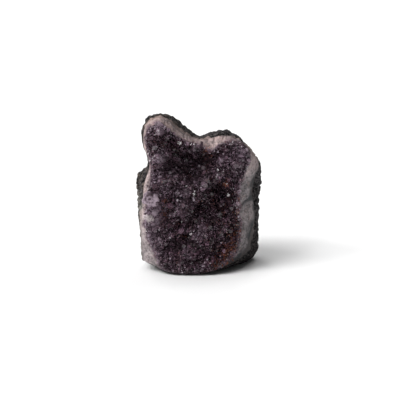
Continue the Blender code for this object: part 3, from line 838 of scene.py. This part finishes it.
class Wires:
    """A node tree being filled."""

    def __init__(self, tree):
        self.tree = tree

    def fill(self, node, inputs):
        """Joins or sets these inputs. Text stands for the number that each corner of the piece has by that
        name."""
        for key, value in inputs.items():
            if isinstance(value, str):
                value = self.add("ShaderNodeAttribute", attribute_name=value).outputs["Fac"]
            if isinstance(value, bpy.types.NodeSocket):
                self.tree.links.new(value, node.inputs[key])
            else:
                node.inputs[key].default_value = value

    def add(self, kind, inputs=None, **settings):
        """A new node with these settings and inputs."""
        node = self.tree.nodes.new(kind)
        for name, value in settings.items():
            setattr(node, name, value)
        self.fill(node, inputs or {})
        return node

    def mixed(self, share, first, second):
        """first where share is 0, second where it is 1, each a colour's name or a socket."""
        first, second = (colour(given) if isinstance(given, str) else given for given in (first, second))
        return self.add("ShaderNodeMix", {0: share, 6: first, 7: second}, data_type="RGBA").outputs[2]

    def sums(self, operation, first, second=0.0, third=0.0, clamp=False):
        """One step of arithmetic."""
        inputs = {0: first, 1: second, 2: third}
        return self.add("ShaderNodeMath", inputs, operation=operation, use_clamp=clamp).outputs[0]

    def spread(self, value, low, high, to_low=0.0, to_high=1.0):
        """value, from low..high to to_low..to_high, clamped."""
        inputs = {0: value, 1: low, 2: high, 3: to_low, 4: to_high}
        return self.add("ShaderNodeMapRange", inputs).outputs[0]

    def mottled(self, mottle, size, contrast=1.0, detail=4.0):
        """The mottle group's noise, 0 to 1, at a size in millimetres."""
        inputs = {"Size": size, "Detail": detail, "Contrast": contrast}
        return self.add("ShaderNodeGroup", inputs, node_tree=mottle).outputs["Value"]

    def stained(self, stain, under, grain):
        """(colour, mask) of a colour with iron stain laid over it where the piece is rusty."""
        inputs = {"Color": under, "Mask": "rust", "Grain": grain}
        node = self.add("ShaderNodeGroup", inputs, node_tree=stain)
        return node.outputs["Color"], node.outputs["Mask"]

    def bumped(self, height, strength, depth):
        """The normal of a bumpy surface, its bumps this many millimetres deep."""
        inputs = {"Strength": strength, "Distance": depth * MM, "Height": height}
        return self.add("ShaderNodeBump", inputs).outputs["Normal"]


def node_group(name, inputs, outputs):
    """(wires, inputs, output node) of a new shader group, whose sockets are given as their values by name:
    four numbers make a colour socket."""
    tree = bpy.data.node_groups.new(name, "ShaderNodeTree")
    for in_out, sockets in (("INPUT", inputs), ("OUTPUT", outputs)):
        for label, value in sockets.items():
            kind = "NodeSocketColor" if isinstance(value, tuple) else "NodeSocketFloat"
            tree.interface.new_socket(label, in_out=in_out, socket_type=kind).default_value = value
    wires = Wires(tree)
    return wires, wires.add("NodeGroupInput").outputs, wires.add("NodeGroupOutput")


def mottle_group():
    """Mottle: noise in the object's own millimetres, spread from 0 to 1, at a size and contrast."""
    inputs = {"Size": 5.0, "Detail": 4.0, "Contrast": 1.0}
    wires, given, result = node_group("mottle", inputs, {"Value": 0.0})
    place = wires.add("ShaderNodeTexCoord").outputs["Object"]
    scale = wires.sums("DIVIDE", 1 / MM, given["Size"])
    noise = wires.add("ShaderNodeTexNoise", {"Vector": place, "Scale": scale, "Detail": given["Detail"]})
    centred = wires.sums("SUBTRACT", noise.outputs["Fac"], 0.5)
    wide = wires.sums("MULTIPLY", centred, given["Contrast"])
    wires.fill(result, {"Value": wires.sums("MULTIPLY_ADD", wide, 3.0, 0.5, clamp=True)})
    return wires.tree


def iron_stain_group():
    """Iron stain: lays rust over a colour where the mask is, in grains, some of them darker."""
    black = (0, 0, 0, 1)
    inputs = {"Color": black, "Mask": 0.0, "Grain": 0.5}
    wires, given, result = node_group("iron_stain", inputs, {"Color": black, "Mask": 0.0})
    share = wires.sums("MULTIPLY_ADD", given["Grain"], 1.1, -0.55)
    share = wires.spread(wires.sums("ADD", given["Mask"], share), 0.62, 0.82)
    share = wires.sums("MULTIPLY", share, wires.spread(given["Mask"], 0.02, 0.15))
    rust = wires.mixed(given["Grain"], "dark rust", "rust")
    wires.fill(result, {"Color": wires.mixed(share, given["Color"], rust), "Mask": share})
    return wires.tree


# ---- materials


def new_material(name):
    """(material, its wires, its Principled BSDF)."""
    material = bpy.data.materials.new(name)
    material.use_nodes = True
    return material, Wires(material.node_tree), material.node_tree.nodes["Principled BSDF"]


def basalt_material(mottle):
    """Dark grey rock, brown in patches at the left, with painted shade near black in its creases and pores
    and at the foot on the right, with pale grains and dust, and a coat of pale stone near the rim with
    painted shade in its pits."""
    material, wires, shader = new_material("basalt")
    place = wires.add("ShaderNodeTexCoord").outputs["Object"]
    broad = wires.mottled(mottle, 12, 1.3)
    patchy = wires.mottled(mottle, 26, 1.6, 2)
    clods = wires.mottled(mottle, 4.6, 1.4, 2)
    fine = wires.mottled(mottle, 1.3, 1.3)
    across = wires.add("ShaderNodeSeparateXYZ", {"Vector": place}).outputs["X"]
    earthy = wires.sums("MULTIPLY", broad, wires.spread(across, -0.05, 0.03, 1, 0.1))
    rock = wires.mixed(earthy, "grey rock", "brown rock")
    rock = wires.mixed(wires.spread(clods, 0.2, 0.8), "dark rock", rock)
    # painted shade: near black in the creases between the lumps, by their height
    rock = wires.mixed(wires.spread("height", 0.3, 1), "painted crease and pore shade", rock)
    # painted shade in the pores
    pore_shade = wires.add("ShaderNodeTexVoronoi", {"Vector": place, "Scale": 1 / (PORE_SPACING * MM)})
    pore_shade = wires.spread(pore_shade.outputs["Distance"], 0.15, 0.42, 0.9, 0)
    pore_shade = wires.sums("MULTIPLY", pore_shade, wires.spread(patchy, 0.2, 0.8, 0.25, 1))
    rock = wires.mixed(pore_shade, rock, "painted crease and pore shade")
    # painted shade: darker where the basalt's column round the band is under 1, most at the foot on the
    # right
    rock = wires.mixed("rock_shade_and_dust", "shaded rock", rock)
    dust = wires.spread(clods, 0.2, 0.8, 0.25, 1.35)
    dust = wires.sums("MULTIPLY", dust, wires.spread("rock_shade_and_dust", 1, 2))
    rock = wires.mixed(dust, rock, "rock dust")
    rock = wires.mixed(wires.spread(fine, 0.62, 0.95, 0, 0.7), rock, "rock grain")
    pale = wires.mixed("warmth", "cool coat", "warm coat")
    pale = wires.mixed("paleness", "dark coat", pale)
    # painted shade in the pits of the coat
    pale = wires.mixed(wires.spread(fine, 0, 0.5, 0.6, 0), pale, "coat pit shade")
    rock = wires.mixed("coat", rock, pale)
    normal = wires.bumped(fine, 0.7, 0.6)
    wires.fill(shader, {"Base Color": rock, "Roughness": 0.9, "Specular IOR Level": 0.1, "Normal": normal})
    return material


def quartz_material(mottle, stain):
    """Pale pinkish-grey columns, streaked along their length and blotched, with painted shade in their pits
    and creases, darker towards the rim, running into the dark purple bed of the points. Rosettes are the
    same bed where it is lilac."""
    material, wires, shader = new_material("quartz")
    cloud = wires.mottled(mottle, 9)
    curd = wires.mottled(mottle, 3.4, 1.3)
    fine = wires.mottled(mottle, 1.4, 1.2)
    pale = wires.mixed("warmth", "cool quartz", "warm quartz")
    pale = wires.mixed(wires.spread("streak", 0.2, 0.55), "brown streak", pale)
    pale = wires.mixed(wires.spread(cloud, 0, 1, 0.35, 0), pale, "quartz cloud")
    dull = wires.mixed(curd, "black quartz", "grey quartz")
    blotches = wires.spread(wires.sums("ADD", cloud, curd), 0.3, 1.7, 0.45, 1.45)
    pale = wires.mixed(wires.sums("MULTIPLY", "paleness", blotches), dull, pale)
    # painted shade in the pits of the band
    pale = wires.mixed(wires.spread(fine, 0.05, 0.45, 0.5, 0), pale, "quartz pit shade")
    pale = wires.mixed(wires.spread(fine, 0.7, 1, 0, 0.35), pale, "quartz fleck")
    ragged = wires.sums("MULTIPLY_ADD", wires.sums("ADD", curd, fine), 0.3, -0.3)
    # darker towards the rim, and painted shade in the creases and pits
    rim_dark_and_crease_shade = wires.spread(wires.sums("ADD", "rim_dark_and_crease_shade", ragged), 0.25, 0.95)
    pale = wires.mixed(rim_dark_and_crease_shade, pale, "rim_dark_and_crease_shade")
    purple = wires.sums("ADD", "purple", wires.sums("MULTIPLY", ragged, 1.2))
    edge = wires.mixed(curd, "dark edge", "lilac edge")
    under = wires.mixed(wires.spread(purple, 0.32, 0.55), pale, edge)
    bed = wires.mixed("lilac", "deep bed", "lilac bed")
    under = wires.mixed(wires.spread(purple, 0.5, 0.75), under, bed)
    stained, _ = wires.stained(stain, under, fine)
    wires.fill(shader, {"Base Color": stained, "Roughness": 0.55, "Specular IOR Level": 0.25})
    wires.fill(shader, {"Normal": wires.bumped(fine, 0.6, 0.6)})
    return material


def amethyst_material(mottle, stain):
    """Half clear crystal: purple by absorption, each point paler or darker, partly by painted shade and
    painted glints, clouded, flecked with painted glints and rusty in places, and milky out over the band."""
    material, wires, shader = new_material("amethyst")
    fine = wires.mottled(mottle, 1.5, 1.4)
    bunch = wires.mottled(mottle, 14, 1.4)
    deep = wires.mixed("tone_and_shade", "darkest point", "purple point")
    lilac = wires.mixed("tone_and_shade", "lilac point", "clear point and glint")
    under = wires.mixed("pale", deep, lilac)
    under = wires.mixed("milky", under, wires.mixed("tone_and_shade", "dull milk", "milk"))
    clouded = wires.spread(fine, 0.1, 0.5, 0.6, 0)
    clouded = wires.sums("MULTIPLY", clouded, wires.spread("pale", 0, 1, 1, 0.3))
    under = wires.mixed(clouded, under, "point cloud")
    # painted glints: pale flecks, most on the bunches
    glint_flecks = wires.spread(fine, 0.78, 0.95)
    glint_flecks = wires.sums("MULTIPLY", glint_flecks, wires.spread(bunch, 0.35, 0.8, 0.1, 0.9))
    under = wires.mixed(glint_flecks, under, "point glint fleck")
    stained, rusty = wires.stained(stain, under, fine)
    finish = {
        "Base Color": stained,
        "Roughness": wires.spread(rusty, 0, 1, 0.15, 0.6),
        "IOR": QUARTZ_IOR,
        "Transmission Weight": 0.5,
        "Normal": wires.bumped(fine, 0.2, 0.3),
    }
    wires.fill(shader, finish)
    absorbing = {"Color": colour("light let through"), "Density": ABSORPTION}
    absorption = wires.add("ShaderNodeVolumeAbsorption", absorbing).outputs["Volume"]
    wires.fill(material.node_tree.nodes["Material Output"], {"Volume": absorption})
    return material


# ---- stage


def floor():
    """A plain white floor, just under the sawn base."""
    bpy.ops.mesh.primitive_plane_add(size=FLOOR_SIZE, location=(0, 0, -FLOOR_DROP))
    plane = bpy.context.object
    plane.name = "floor"
    material, wires, shader = new_material("floor")
    wires.fill(shader, {"Base Color": colour("floor"), "Roughness": 0.9, "Specular IOR Level": 0.0})
    plane.data.materials.append(material)


def lights():
    """A bank of soft lamps, most of them high on the left and in front, and a dim surround."""
    world = bpy.data.worlds.new("surround")
    bpy.context.scene.world = world
    world.use_nodes = True
    background = world.node_tree.nodes["Background"]
    Wires(world.node_tree).fill(background, {"Color": (1, 1, 1, 1), "Strength": SURROUND})
    for number, (towards, strength) in enumerate(LIGHTS):
        light = bpy.data.lights.new(f"lamp_{number}", "SUN")
        light.energy = strength
        light.angle = math.radians(LAMP_SPREAD)
        linked(light.name, light).rotation_euler = Vector(towards).to_track_quat("Z", "Y").to_euler()
    bpy.context.scene.view_settings.view_transform = "Standard"


def camera():
    """Looks along +Y from a little above, far enough away to be nearly parallel."""
    data = bpy.data.cameras.new("camera")
    data.lens = LENS
    data.sensor_width = SENSOR_WIDTH
    viewer = linked("camera", data)
    viewer.location = CAMERA_PLACE
    viewer.rotation_euler = (math.pi / 2 - CAMERA_ELEVATION, 0, 0)
    bpy.context.scene.camera = viewer


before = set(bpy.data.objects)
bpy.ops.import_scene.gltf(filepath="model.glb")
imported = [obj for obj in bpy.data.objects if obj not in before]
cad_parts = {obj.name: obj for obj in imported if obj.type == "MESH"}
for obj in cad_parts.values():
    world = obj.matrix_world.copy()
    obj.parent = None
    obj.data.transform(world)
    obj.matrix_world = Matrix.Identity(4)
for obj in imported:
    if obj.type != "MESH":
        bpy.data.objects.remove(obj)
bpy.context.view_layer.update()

camera()
lights()
floor()

mottle = mottle_group()
stain = iron_stain_group()
basalt = basalt_material(mottle)
quartz = quartz_material(mottle, stain)
amethyst = amethyst_material(mottle, stain)

basalt_skin(basalt)
quartz_roots(quartz)
rosettes(quartz)
taken = large_points(amethyst)
small_points("small_points", SMALL_SPACING, SMALL_WIDTHS, -0.1, 7, taken, amethyst)
small_points("edge_points", TINY_SPACING, TINY_WIDTHS, 0.92, 8, taken, amethyst)
